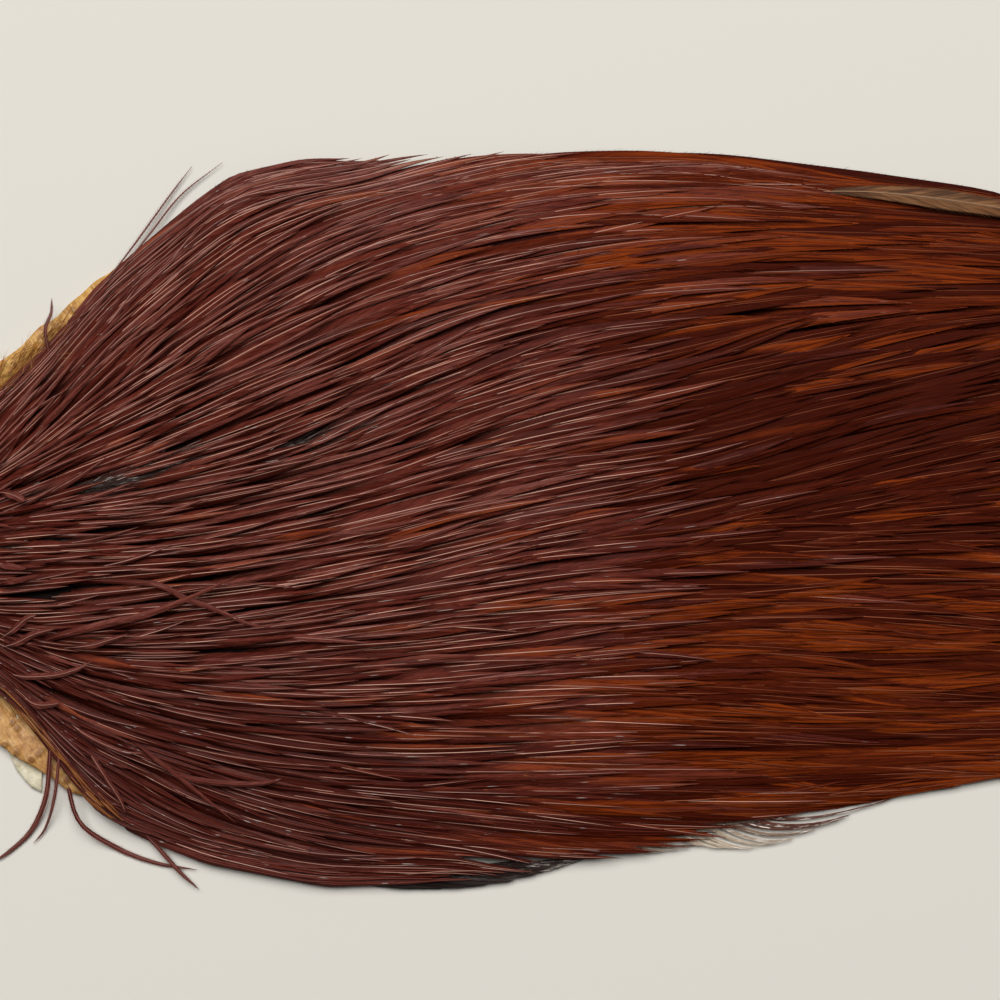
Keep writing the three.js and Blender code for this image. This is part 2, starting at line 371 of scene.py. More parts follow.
coat_far_side = profile(
    (0, 6), (8, 14), (24, 24), (46, 37), (57, 45.5), (68, 57), (76, 63.5), (84, 69.5), (92, 75),
    (100, 80), (115, 82.8), (130, 83.5), (160, 83), (204, 78), (247, 70), (269, 66), (CAPE_LENGTH, 60),
)
coat_near_side = profile(
    (0, 6), (8, 14), (24, 22), (42, 31), (50, 42), (62, 60), (84, 71), (110, 78), (145, 79.6),
    (180, 77), (200, 74), (214, 70.4), (236, 67.8), (260, 66.5), (CAPE_LENGTH, 58),
)
crest_share = profile(
    (0, 0.22), (20, 0.5), (60, 0.82), (115, 1), (160, 0.95), (200, 0.68), (240, 0.38), (280, 0.2),
    (CAPE_LENGTH, 0.1),
)
edge_share = profile((0, 0.24), (60, 0.22), (90, 0.16), (150, 0.11), (250, 0.07), (CAPE_LENGTH, 0.05))


def coat_half_width(along, sideways):
    return np.where(sideways < 0, coat_near_side(along), coat_far_side(along))


def coat_height(along, across):
    fall = np.clip(np.abs(across), 0, 1) ** CROWN_POWER
    crest, edge = crest_share(along), edge_share(along)
    return CREST_HEIGHT * (crest + (edge - crest) * fall)


def down_surface():
    surface = Surface("dark_down", roughness=0.8, specular=0.2)
    place = surface.node("ShaderNodeTexCoord", "Object")
    x, y = surface.split(place)
    fibre = surface.stretched(x, y, 500.0, 2600.0, 4.0, 0.65)
    colour = surface.blend(surface.rise(fibre, 0.35, 0.7), paint(18, 7, 5), paint(52, 38, 32))
    surface.bump(fibre, 0.8, 0.0008)
    return surface.done(colour)


def down_reach(along, across):
    """How far from the middle line the down grows: it leaves the rim of the head skin bare."""
    half = np.where(across < 0, skin_near_side(along), skin_far_side(along))
    return half * (0.72 + 0.2 * smoothstep(along, 40, 110))


def down_bed(draw):
    """A low mound under the hackles, closed below."""
    across = np.linspace(-1, 1, 61)
    along = np.linspace(6, 184, 110)[:, None]
    sideways = across * down_reach(along, across)
    fade = (1 - np.abs(across) ** 4) * smoothstep(along, 4, 26) * smoothstep(190 - along, 0, 30)
    mound = 0.66 * coat_height(along, sideways / coat_half_width(along, sideways)) * fade
    mound = mound + 0.35 * ripples(draw, sideways, along, 5.0, 6.0) * fade
    upper = cape_point(along, sideways, np.maximum(mound, 1.15))
    lower = cape_point(along, sideways, 1.05)
    rows, columns = upper.shape[:2]
    faces = halve(grid_faces(rows, columns))
    triangles = np.concatenate([faces, faces[:, ::-1] + rows * columns])
    points = np.concatenate([upper.reshape(-1, 3), lower.reshape(-1, 3)])
    return points, triangles, np.zeros((len(points), 2))


def strands(draw, along, sideways, lean, lengths, tops, width, waver=0.5):
    """Thin strands that lean back and rise towards a share of the coat's height."""
    count = len(along)
    surface_height = coat_height(along, sideways / coat_half_width(along, sideways))
    share = np.linspace(0, 1, 5)[None, :]
    length = draw.uniform(*lengths, count)[:, None]
    turned = lean[:, None] + draw.normal(0, waver, count)[:, None] * share
    u = along[:, None] + length * share * np.cos(turned)
    v = sideways[:, None] + length * share * np.sin(turned)
    top = draw.uniform(*tops, count)[:, None]
    z = surface_height[:, None] * (0.5 + (top - 0.5) * share**0.6)
    centre = cape_point(u, v, np.maximum(z, 1.1))
    half = width * (1 - 0.75 * share)
    offset = np.stack([-np.sin(turned) * half, np.cos(turned) * half, 0 * turned], axis=-1)
    points = np.stack([centre - offset, centre + offset], axis=2).reshape(-1, 3)
    strand = halve(grid_faces(5, 2))
    triangles = (np.arange(count)[:, None, None] * 10 + strand[None]).reshape(-1, 3)
    shade = np.broadcast_to(draw.random(count)[:, None, None], (count, 5, 2))
    places = np.stack([np.broadcast_to(share[..., None], shade.shape), shade], axis=-1)
    return points, triangles, places


def down_tufts(draw, count=4200):
    along = draw.uniform(20, 176, count)
    across = draw.uniform(-1, 1, count)
    lean = draw.normal(0, 0.28, count) + 0.35 * across
    return strands(draw, along, across * down_reach(along, across), lean, (5, 12), (0.6, 0.84), 0.09)


# Partings on the far side of the middle line: half their width, then places behind the head end and
# beside the line.
PARTINGS = (
    (0.9, ((36, 7.5), (57, 11.5), (70, 14.8), (82, 17.2))),
    (0.5, ((86, 11.6), (97, 15.3), (107, 17.8), (120, 19.6))),
    (0.6, ((34, 0.5), (52, 1.5))),
)


def in_parting(along, sideways):
    inside = np.zeros(np.shape(along), bool)
    for half, places in PARTINGS:
        ends, middle = np.array(places).T
        near = np.abs(sideways - np.interp(along, ends, middle)) < half
        inside |= near & (along > ends[0]) & (along < ends[-1])
    return inside


def parting_barbs(draw):
    """Soft grey barbs that lie along the partings and fill them up to the surface."""
    parts = []
    for half, places in PARTINGS:
        ends, middle = np.array(places).T
        count = int(20 * (ends[-1] - ends[0]) * half)
        along = draw.uniform(ends[0], ends[-1] - 8, count)
        slope = np.gradient(middle, ends).mean()
        sideways = np.interp(along, ends, middle) + draw.normal(0, 0.6 * half, count)
        lean = np.arctan(slope) + draw.normal(0.02, 0.05, count)
        parts.append(strands(draw, along, sideways, lean, (8, 22), (0.86, 1.0), 0.1, 0.06))
    return join(parts)


def grey_down_surface():
    """Grey fluff with short bright streaks where single barbs catch the light."""
    surface = Surface("grey_down", roughness=0.5, specular=0.3)
    place = surface.node("ShaderNodeUVMap", "UV", {"uv_map": "OFBake"})
    along, strand = surface.split(place)
    tone = surface.stretched(strand, along, 37.0, 1.5, 2.0)
    glint = surface.stretched(strand, along, 90.0, 1.6, 1.0, z=7.0)
    colour = surface.blend(surface.rise(tone, 0.3, 0.7), paint(40, 24, 20), paint(84, 66, 58))
    colour = surface.blend(surface.rise(glint, 0.63, 0.7), colour, paint(196, 190, 184))
    surface.bump(tone, 0.3, 0.0001)
    return surface.done(colour)


DOWN_DRAW = np.random.default_rng(5)
down_mesh = join([down_bed(DOWN_DRAW), down_tufts(DOWN_DRAW)])
make_piece("down", down_surface(), "black_web", "hackle_coat", *down_mesh[:2])
make_piece("parting_down", grey_down_surface(), "grey_web", "hackle_coat", *parting_barbs(DOWN_DRAW))


# Hackles
# Neck feathers in rows, short at the head and long at the back, each a quill with a narrow vane on
# both sides. They are rooted in the skin, combed back, and lie on each other like thatch. Five pieces
# make the surface of the coat, two the broader hackles below it, and one the short ones of the crown.
TAIL_ROUND = 42.0
FIRST_REACH = 28.0
REACH_GROWTH = 0.35
FIRST_TIP = 30.0
STATIONS = 28
BANDS = 18
DARKEST_BAND = 7
QUILL_BAND = BANDS - 3
BAND_HALF = 0.4
LOWEST = 0.12

# The way that the hackles lie, in degrees towards the far side, at places behind the head end, for
# each share of the way from the middle line to the far edge (1) or the near edge (-1). They come from
# a program's fit to the strand directions in the photo, of which most angles were then changed.
COMB_PLACES = (20, 60, 100, 140, 180, 220, 260, CAPE_LENGTH)
COMB_ANGLES = {
    -1.0: (-48, -48, -26, -17, -6, -2, -1, 2),
    -0.6: (-24, -27, -11, -2, -3, -8, -4, -4),
    -0.25: (-6, 1, 3, 4, 1, -4, -7, -4),
    0.1: (4, -2, 8, 13, 5, 11, 6, 4),
    0.4: (25, 20, 19, 19, 7, 9, 9, 4),
    0.7: (41, 42, 29, 12, 4, -3, -5, -5),
    1.0: (45, 47, 34, 14, 0, -9, -10, -8),
}
COMB_TABLE = np.radians([COMB_ANGLES[share] for share in COMB_ANGLES])
COMB_SHARES = np.array(list(COMB_ANGLES))


def widening(along, sideways):
    """How fast the coat widens on this side of the middle line."""
    return (coat_half_width(along + 8, sideways) - coat_half_width(along - 8, sideways)) / 16


def comb_angle(along, sideways):
    """The direction of the hackles at a place, with slow waves through whole bundles of them."""
    along, sideways = np.broadcast_arrays(along, sideways)
    share = np.clip(sideways / coat_half_width(along, sideways), -1, 1)
    rows = np.stack([np.interp(along, COMB_PLACES, row) for row in COMB_TABLE])
    place = np.interp(share, COMB_SHARES, np.arange(len(COMB_SHARES)))
    low = np.minimum(place.astype(int), len(COMB_SHARES) - 2)
    part = smoothstep(place - low, 0, 1)
    lower = np.take_along_axis(rows, low[None], axis=0)[0]
    upper = np.take_along_axis(rows, low[None] + 1, axis=0)[0]
    inner = lower + (upper - lower) * part
    spread = widening(along, sideways)
    edge = np.where(sideways < 0, -1, 1) * np.arctan(spread)
    at_edge = smoothstep(np.abs(share), 0.78, 0.98) * smoothstep(spread, -0.04, 0.06)
    draw = np.random.default_rng(21)
    wave = ripples(draw, sideways, along, 21.0, 3.5, 7) + 0.8 * ripples(draw, sideways, along, 8.0, 6.0, 7)
    return inner + (edge - inner) * at_edge + 0.022 * wave * (1 - at_edge)


def bedding(along, share):
    """How high a hackle lies in the coat at a share of its length: 0 on the skin, 1 on the surface."""
    last_reach = FIRST_REACH + REACH_GROWTH * (CAPE_LENGTH - FIRST_TIP)
    lowest = np.clip((along - (CAPE_LENGTH - last_reach)) / last_reach, 0, 0.9)
    highest = np.clip(along / FIRST_REACH, 0.1, 1)
    return 1 - (1 - np.clip((share - lowest) / np.maximum(highest - lowest, 0.1), 0, 1)) ** 1.8


def evened(lines, spacing):
    """Lines thinned out where they crowd and filled up where they have spread."""
    kept = [lines[0]]
    for line in lines[1:]:
        apart = line - kept[-1]
        if apart > 0.65 * spacing:
            steps = max(round(apart / spacing), 1)
            kept.extend(kept[-1] + apart * np.arange(1, steps + 1) / steps)
    return np.array(kept)


def sow_tips(draw):
    """Tips in lines that follow the comb from the head to the back, so that the hackles of a line lie
    on each other."""
    tips = []
    start = FIRST_TIP - 5
    lines = np.linspace(-0.95 * coat_near_side(start), 0.95 * coat_far_side(start), 24)
    while start < CAPE_LENGTH:
        gap = float(np.interp(start, [30, 60, 100, 160, 240, CAPE_LENGTH], [11, 16, 24, 32, 31, 14]))
        spacing = float(np.interp(start, [30, 120, 180, 240, CAPE_LENGTH], [1.5, 1.6, 1.8, 2.0, 2.1]))
        lines = lines[np.abs(lines / coat_half_width(start, lines)) < 0.98]
        far, near = 0.965 * float(coat_far_side(start)), -0.965 * float(coat_near_side(start))
        lines = evened(np.sort(np.concatenate([[near], lines, [far]])), spacing)
        shift = draw.uniform(-0.55, 0.55, len(lines)) * gap
        along = start + shift
        halfway = lines + 0.5 * shift * np.tan(comb_angle(start, lines))
        sideways = lines + shift * np.tan(comb_angle(start + 0.5 * shift, halfway))
        sideways += draw.normal(0, 0.1, len(lines)) * spacing
        share = np.abs(sideways / coat_half_width(along, sideways))
        inside = (share < 0.985) & (along > 22) & (along < CAPE_LENGTH - TAIL_ROUND * share**6)
        tips.append(np.stack([along, sideways])[:, inside & ~in_parting(along, sideways)])
        for _ in range(8):
            lines = lines + gap / 8 * np.tan(comb_angle(start, lines))
            start += gap / 8
    return np.concatenate(tips, axis=1)


def sow_edge(draw, start, end, apart, shares):
    """Tips along both edges of the coat."""
    along = np.repeat(np.arange(start, end, apart), 2)
    along = along + draw.uniform(-0.5, 0.5, len(along)) * apart
    sideways = np.where(np.arange(len(along)) % 2, coat_far_side(along), -coat_near_side(along))
    share = draw.uniform(*shares, len(along))
    inside = along < CAPE_LENGTH - TAIL_ROUND * share**6
    return np.stack([along, sideways * share])[:, inside]


def comb_back(tips, reach, drift, lift):
    """Routes of hackles from root to tip, found by following the comb backwards from each tip."""
    count = tips.shape[1]
    share = np.linspace(0, 1, STATIONS)
    step = reach / (STATIONS - 1)
    along = np.empty((count, STATIONS))
    sideways = np.empty((count, STATIONS))
    along[:, -1], sideways[:, -1] = tips
    for station in range(STATIONS - 2, -1, -1):
        here, there = along[:, station + 1], sideways[:, station + 1]
        angle = comb_angle(here, there) + drift * share[station] ** 1.5
        along[:, station] = here - step * np.cos(angle)
        limit = coat_half_width(along[:, station], there)
        sideways[:, station] = np.clip(there - step * np.sin(angle), -limit, limit)
    across = sideways / coat_half_width(along, sideways)
    surface = coat_height(along, across)
    bed = 0.35 + 0.95 * smoothstep(SKIN_LENGTH - along, 0, 12)
    depth = np.clip(bedding(along, share), 0, 1)
    raised = lift[:, None] * smoothstep(share, 0.25, 0.8)
    return cape_point(along, sideways, bed + (surface - bed) * depth + raised), across


def coat_tilt(route, across):
    """How steeply the coat rises towards the far side, along each route."""
    along = route[..., 0] - HEAD_X
    width = np.maximum(coat_half_width(along, across), 5)
    return (coat_height(along, across + 0.02) - coat_height(along, across - 0.02)) / (0.04 * width)


def frames(route, tilt, roll):
    """Heading, side and normal along each route: tilted sideways, then rolled about the quill."""
    heading = np.gradient(route, axis=1)
    heading /= np.linalg.norm(heading, axis=-1, keepdims=True)
    side = np.stack([-heading[..., 1], heading[..., 0], tilt * heading[..., 0]], axis=-1)
    side -= heading * np.sum(side * heading, axis=-1, keepdims=True)
    side /= np.linalg.norm(side, axis=-1, keepdims=True)
    normal = np.cross(heading, side)
    turned, level = np.sin(roll)[..., None], np.cos(roll)[..., None]
    return heading, side * level + normal * turned, normal * level - side * turned


def at_shares(values, shares):
    """Values given at the stations of each route, read off at other shares of its length."""
    stations = values.shape[1]
    place = np.clip(np.asarray(shares) * (stations - 1), 0, stations - 1.0001)
    low = place.astype(int)
    part = (place - low)[:, None]
    return values[:, low] * (1 - part) + values[:, low + 1] * part


def feather_mesh(draw, route, axes, breadth, outline, fold, band, quill_band, barbs,
                 vane_start=0.2, sweep=1.8, web=0.92):
    """Joined feathers: each has a three-sided quill, one arched vane, and fine barb ends beyond it. The
    vane is closed over the web's share of its breadth."""
    heading, side, normal = axes
    count = len(route)
    parts = []

    def on_vane(shares, across, forward):
        half = np.interp(shares, *outline)[None, :] * breadth[:, None]
        out = half * np.abs(across)
        steep = np.abs(across) ** 0.7
        beside = out * np.sign(across) * (1 - (1 - np.cos(fold))[:, None] * steep)
        drop = out * np.sin(fold)[:, None] * steep
        centre = at_shares(route, shares)
        ahead, away, up = (at_shares(axis, shares) for axis in (heading, side, normal))
        spot = centre + away * beside[..., None] - up * drop[..., None] + ahead * (out * forward)[..., None]
        spot[..., 2] = np.maximum(spot[..., 2], LOWEST)
        return spot

    def texture_place(shares, across):
        v = (band[:, None] + 0.5 + BAND_HALF * across[None, :]) / BANDS
        return np.stack([np.broadcast_to(np.clip(shares, 0, 1), v.shape), v], axis=-1)

    def repeat(spots, places, triangles):
        size = spots.shape[1]
        faces = np.arange(count)[:, None, None] * size + triangles[None]
        parts.append((spots, faces.reshape(-1, 3), places))

    columns = np.array([-1.0, -0.5, 0.0, 0.5, 1.0]) * web
    rows = vane_start + (1 - vane_start) * np.linspace(0, 1, 19)
    shares, across = np.repeat(rows, len(columns)), np.tile(columns, len(rows))
    vane = halve(grid_faces(len(rows), len(columns)))
    repeat(on_vane(shares, across, sweep), texture_place(shares, across), vane)

    roots = vane_start + (0.985 - vane_start) * (np.arange(barbs) + 0.5) / barbs
    slim = 0.1 / np.mean(np.linalg.norm(np.diff(route, axis=1), axis=-1).sum(axis=1))
    first = np.arange(barbs)
    barb = np.stack([first, first + barbs, first + 2 * barbs], axis=-1)
    for direction in (-1, 1):
        base = np.full(barbs, 0.91 * web * direction)
        end = draw.uniform(1.0, 1.2, barbs) * direction
        tips = on_vane(roots, end, sweep * 1.15)
        tips += draw.normal(0, 0.07, tips.shape) * breadth[:, None, None] * [1, 1, 0.7]
        tips[..., 2] = np.maximum(tips[..., 2], LOWEST)
        spots = [on_vane(roots - slim, base, sweep), on_vane(roots + slim, base, sweep), tips]
        places = [texture_place(roots, share) for share in (base, base, end)]
        repeat(np.concatenate(spots, axis=1), np.concatenate(places, axis=1), barb[:, ::direction])

    quill_rows = np.linspace(0, 0.985, 11)
    thickness = (0.09 + 0.035 * breadth)[:, None] * (1 - 0.5 * quill_rows**2)
    centre = at_shares(route, quill_rows)
    away, up = at_shares(side, quill_rows), at_shares(normal, quill_rows)
    ring = []
    for turn in (90, 210, 330):
        out = math.cos(math.radians(turn)) * thickness
        rise = (math.sin(math.radians(turn)) + 0.5) * thickness
        ring.append(centre + away * out[..., None] + up * rise[..., None])
    spots = np.stack(ring, axis=2).reshape(count, -1, 3)
    spots[..., 2] = np.maximum(spots[..., 2], LOWEST)
    stations = np.arange(len(quill_rows) - 1) * 3
    sides = []
    for k in range(3):
        here, there = stations + k, stations + (k + 1) % 3
        sides.append(np.stack([here, there, there + 3, here + 3], axis=-1))
    u = np.broadcast_to(np.repeat(quill_rows, 3), spots.shape[:2])
    places = np.stack([u, np.broadcast_to((quill_band[:, None] + 0.5) / BANDS, u.shape)], axis=-1)
    repeat(spots, places, halve(np.concatenate(sides)[:, ::-1]))
    return join(parts)


SLENDER = ([0.2, 0.35, 0.55, 0.75, 0.9, 1.0], [0.85, 1.0, 0.92, 0.68, 0.34, 0.02])
WEBBY = ([0.2, 0.4, 0.6, 0.78, 0.91, 1.0], [0.9, 1.0, 0.9, 0.6, 0.26, 0.02])


def hackle_surface(
    name, specular, gloss, streaks, dark, middle, light, tint, quill, quill_share, glint=0.0
):
    """Fine slanting barbs on both sides of a pale quill line. The first eight bands of the texture run
    from light to dark, the next ones run out to the tint at their tips, and the last three are quills."""
    surface = Surface(name, roughness=0.4, specular=specular)
    place = surface.node("ShaderNodeUVMap", "UV", {"uv_map": "OFBake"})
    along, strip = surface.split(place)
    banded = surface.times(strip, float(BANDS))
    band = surface.math("FLOOR", banded)
    offset = surface.math("SUBTRACT", surface.math("FRACT", banded), 0.5)
    across = surface.times(offset, 1 / BAND_HALF)
    outward = surface.math("ABSOLUTE", across)
    swept = surface.math("SUBTRACT", along, surface.times(outward, 0.05))
    barb = surface.stretched(swept, across, streaks, 0.4, 4.0, 0.7, band)
    shifted = surface.math("ADD", band, 40.0)
    clump = surface.noise(surface.place(surface.times(swept, 0.3 * streaks), across, shifted))
    patch = surface.stretched(along, across, 6.0, 2.2, 2.0, z=band)
    grain = surface.math("ADD", surface.times(barb, 0.65), surface.times(clump, 0.35))
    body = surface.blend(surface.rise(patch, 0.4, 0.72, 0.0, 0.8), middle, light)
    body = surface.blend(surface.rise(grain, 0.41, 0.59, 0.8, 0.0), body, dark)
    plain = surface.math("LESS_THAN", band, DARKEST_BAND + 0.5)
    darker = surface.rise(band, -1.0, DARKEST_BAND + 1.0, 0.0, 0.75)
    body = surface.blend(surface.times(darker, plain), body, dark)
    # Painted shade: the outer edges of each vane are darkened, as where the hackles overlap and shade each
    # other.
    body = surface.blend(surface.rise(outward, 0.7, 1.0, 0.0, 0.3), body, dark)
    late = surface.rise(along, 0.35, 0.85)
    warm = surface.rise(band, DARKEST_BAND + 1.0, QUILL_BAND - 1.0)
    streak = surface.rise(surface.math("ADD", patch, surface.times(grain, 0.4)), 0.55, 0.85, 0.1, 1.0)
    toned = surface.blend(surface.times(late, warm, streak), body, tint)
    # The root end runs to the dark colour: partly the dark webby base, and partly painted shade in the gaps
    # between hackles.
    toned = surface.blend(surface.rise(along, 0.12, 0.36, 0.8, 0.0), toned, dark)
    # The quill line is pale, as quills are, and lighter still as a painted highlight along the crest, in
    # place of gloss.
    line = surface.rise(outward, 0.03, 0.14, quill_share, 0.0)
    toned = surface.blend(line, toned, quill)
    quill_tone = surface.blend(surface.rise(band, float(QUILL_BAND), BANDS - 1.0), middle, quill)
    # Painted glints: short pale streaks on the quills where they would catch the light.
    spot = surface.node("ShaderNodeTexCoord", "Object")
    x, y = surface.split(spot)
    shine = surface.stretched(x, y, 150.0, 750.0, 1.0)
    quill_tone = surface.blend(surface.rise(shine, 0.66, 0.74, 0.0, glint), quill_tone, paint(206, 194, 188))
    quill_tone = surface.blend(surface.rise(along, 0.88, 1.0, 0.0, 0.8), quill_tone, middle)
    colour = surface.blend(surface.math("GREATER_THAN", banded, float(QUILL_BAND)), toned, quill_tone)
    speck = surface.stretched(along, across, 26.0, 0.8, 1.0, z=surface.times(band, 3.3))
    fleck = surface.rise(speck, 0.74, 0.79, 0.0, 0.2 + 0.6 * glint)
    colour = surface.blend(surface.times(fleck, surface.rise(along, 0.5, 0.6)), colour, paint(158, 88, 46))
    surface.bump(grain, 0.5, 0.00005)
    return surface.done(colour, surface.rise(grain, 0.3, 0.7, gloss, gloss + 0.15))


# The ribbed hackles' middle and light colours are greyed towards mauve brown: partly their own colour and
# partly a painted sheen, in place of gloss.
RIBBED = hackle_surface(
    "ribbed_hackles", 0.06, 0.4, 95.0, paint(52, 14, 10), paint(117, 58, 48), paint(134, 79, 68),
    paint(134, 62, 30), paint(200, 156, 142), 0.25, 0.7,
)
FLAT = hackle_surface(
    "flat_hackles", 0.03, 0.4, 110.0, paint(48, 11, 7), paint(103, 43, 32), paint(117, 58, 46),
    paint(124, 52, 18), paint(216, 168, 148), 0.3, 0.6,
)
BROAD = hackle_surface(
    "broad_hackles", 0.02, 0.5, 100.0, paint(46, 10, 4), paint(82, 26, 11), paint(94, 35, 15),
    paint(128, 52, 12), paint(154, 88, 60), 0.35,
)


def tone_and_painted_shade(along, sideways):
    """How dark the hackles are: darker at the head, along the middle of the back and at both edges; on the
    near side of the neck and at the near edge this is painted shade, where the coat slopes from the light."""
    share = sideways / coat_half_width(along, sideways)
    head = 0.2 * (1 - smoothstep(along, 55, 95)) * (1 - smoothstep(share, 0.1, 0.5))
    # Painted shade: the near side of the neck slopes away from the light.
    neck = smoothstep(-share, 0.1, 0.7) * (1 - smoothstep(along, 110, 170))
    middle = smoothstep(along, 175, 230) * np.exp(-(((share - 0.32) / 0.37) ** 2))
    # Painted shade along the near edge, which also slopes away from the light.
    near_edge = smoothstep(-share, 0.5, 0.85) * smoothstep(along, 110, 150)
    near_edge = near_edge * (1 - 0.6 * smoothstep(along, 190, 225))
    far_edge = smoothstep(share, 0.6, 0.9) * smoothstep(along, 215, 260)
    edges = 0.5 * near_edge + 0.25 * far_edge
    return 0.3 + head + 0.65 * neck + 0.4 * middle + edges + 0.2 * smoothstep(along, 170, 215)


def warmth(along, sideways):
    """Where the coat runs to orange: towards the back, most of all by both edges."""
    share = sideways / coat_half_width(along, sideways)
    back = smoothstep(along, 110, 215)
    return back * (0.12 + 0.7 * smoothstep(np.abs(share - 0.12), 0.28, 0.62))


TIP_DRAW = np.random.default_rng(11)
ALL_TIPS = np.concatenate([
    sow_tips(TIP_DRAW),
    sow_edge(TIP_DRAW, 34, 300, 3.5, (0.9, 0.99)),
    sow_edge(TIP_DRAW, 104, 250, 2.4, (0.96, 1.0)),
    sow_edge(TIP_DRAW, 120, 300, 5.0, (0.78, 0.92)),
    sow_edge(TIP_DRAW, 230, 290, 3.0, (0.93, 0.995)),
], axis=1)


def hackle_piece(name, surface, seed, tips, outline, barbs, drift_spread, gold=0.03, raised=0.0, wider=1.0,
                 longer=1.0, crossing=0.16):
    draw = np.random.default_rng(seed)
    count = tips.shape[1]
    reach = longer * (FIRST_REACH + REACH_GROWTH * (tips[0] - FIRST_TIP)) * draw.uniform(0.94, 1.06, count)
    reach = np.minimum(reach, tips[0] - 4)
    drift = draw.normal(0, drift_spread, count) * np.where(draw.random(count) < crossing, 3.5, 1)
    calm = smoothstep(tips[0], 120, 190)
    lift = raised + np.abs(draw.normal(0, 0.25, count)) * (1 - 0.5 * calm)
    route, across = comb_back(tips, reach, drift, lift)
    roll = (draw.normal(0, 0.17, count) * (1 - 0.5 * calm))[:, None] * np.ones(STATIONS)
    breadth = np.interp(tips[0], [30, 120, 180, 240, CAPE_LENGTH], [1.05, 1.25, 1.65, 2.1, 2.3])
    breadth = wider * breadth * draw.uniform(0.85, 1.15, count)
    fold = np.radians(np.interp(tips[0], [40, 120, 170, 220, CAPE_LENGTH], [38, 32, 16, 8, 6]))
    fold = fold * draw.uniform(0.8, 1.2, count)
    bundle = ripples(np.random.default_rng(33), tips[1], tips[0], 8.0, 9.0)
    is_warm = draw.random(count) < np.maximum(warmth(*tips) * (1 + 0.9 * bundle), gold)
    # This darkness picks darker bands and dimmer quills, so it also carries the painted shade on the near
    # side.
    dark_share = tone_and_painted_shade(*tips)
    dark_band = np.clip(np.round(DARKEST_BAND * dark_share + draw.normal(0, 1.6, count)), 0, DARKEST_BAND)
    # Brighter quill bands, partly a painted highlight, are fewer where the hackles are darker.
    bright = 0.7 - 0.7 * dark_share
    band = np.where(is_warm, draw.integers(DARKEST_BAND + 2, QUILL_BAND, count), dark_band)
    quill_band = QUILL_BAND + (draw.random(count) < 0.8 - 0.5 * dark_share) + (draw.random(count) < bright)
    axes = frames(route, coat_tilt(route, across), roll)
    make_piece(name, surface, "hackles", "hackle_coat",
               *feather_mesh(draw, route, axes, breadth, outline, fold, band, quill_band, barbs))


NEAR_SIDE_SHIFT = 20 * smoothstep(-ALL_TIPS[1], 5, 40)
BLURRED_ALONG = ALL_TIPS[0] + NEAR_SIDE_SHIFT + TIP_DRAW.normal(0, 21, ALL_TIPS.shape[1])


def tips_between(start, end):
    """Tips in a stretch of the coat, which runs over into the next stretch without a sharp line."""
    return ALL_TIPS[:, (BLURRED_ALONG >= start) & (BLURRED_ALONG < end)]


hackle_piece("long_hackles", BROAD, 11, tips_between(272, 400), WEBBY, 60, 0.03)
hackle_piece("shoulder_hackles", BROAD, 12, tips_between(220, 272), WEBBY, 60, 0.03)
hackle_piece("back_hackles", FLAT, 13, tips_between(160, 220), SLENDER, 44, 0.035)
hackle_piece("neck_hackles", RIBBED, 14, tips_between(95, 160), SLENDER, 26, 0.04)
hackle_piece("head_hackles", RIBBED, 15, tips_between(-50, 95), SLENDER, 20, 0.045, crossing=0.28)


def scattered_tips(draw, count, start, end):
    """Tips anywhere in a stretch of the coat, as in the lower layers and on the crown."""
    along = draw.uniform(start, end, count)
    share = draw.uniform(-0.95, 0.95, count)
    inside = along < CAPE_LENGTH - TAIL_ROUND * np.abs(share) ** 6
    return np.stack([along, share * coat_half_width(along, share)])[:, inside]


LOW_NECK_TIPS = scattered_tips(TIP_DRAW, 800, 46, 200)
LOW_BACK_TIPS = scattered_tips(TIP_DRAW, 520, 190, 316)
hackle_piece("low_neck_hackles", FLAT, 16, LOW_NECK_TIPS, WEBBY, 12, 0.02, raised=-0.5, wider=1.5)
hackle_piece("low_back_hackles", BROAD, 19, LOW_BACK_TIPS, WEBBY, 16, 0.02, raised=-0.45, wider=1.6)

CROWN_TIPS = scattered_tips(np.random.default_rng(27), 150, 8, 30)
hackle_piece("crown_hackles", RIBBED, 20, CROWN_TIPS, SLENDER, 16, 0.1, wider=0.9)


# Rim hackles
# Short soft hackles along the near rim of the head skin and thin hairs along its far rim, golden brown
# because the light shines through them.
GOLDEN = hackle_surface(
    "golden_hackles", 0.15, 0.4, 30.0, paint(98, 46, 20), paint(164, 104, 48), paint(200, 146, 78),
    paint(176, 106, 46), paint(210, 160, 110), 0.3,
)
RIM_TIPS = sow_edge(TIP_DRAW, 44, 68, 1.0, (0.93, 1.0))[:, ::2]
RIM_DRAW = np.random.default_rng(25)


def rim_hairs(draw, count=420):
    along = draw.uniform(16, 60, count)
    sideways = skin_far_side(along) * draw.uniform(0.8, 0.97, count)
    lean = draw.normal(0.72, 0.12, count)
    return join([strands(draw, along, sideways, lean, (3, 7), (0.8, 1.2), 0.07, 0.3)])


make_piece("rim_hairs", GOLDEN, "hackles", "hackle_coat", *rim_hairs(RIM_DRAW))
hackle_piece("rim_hackles", GOLDEN, 18, RIM_TIPS, SLENDER, 26, 0.1, raised=0.25, wider=0.6, longer=0.5)


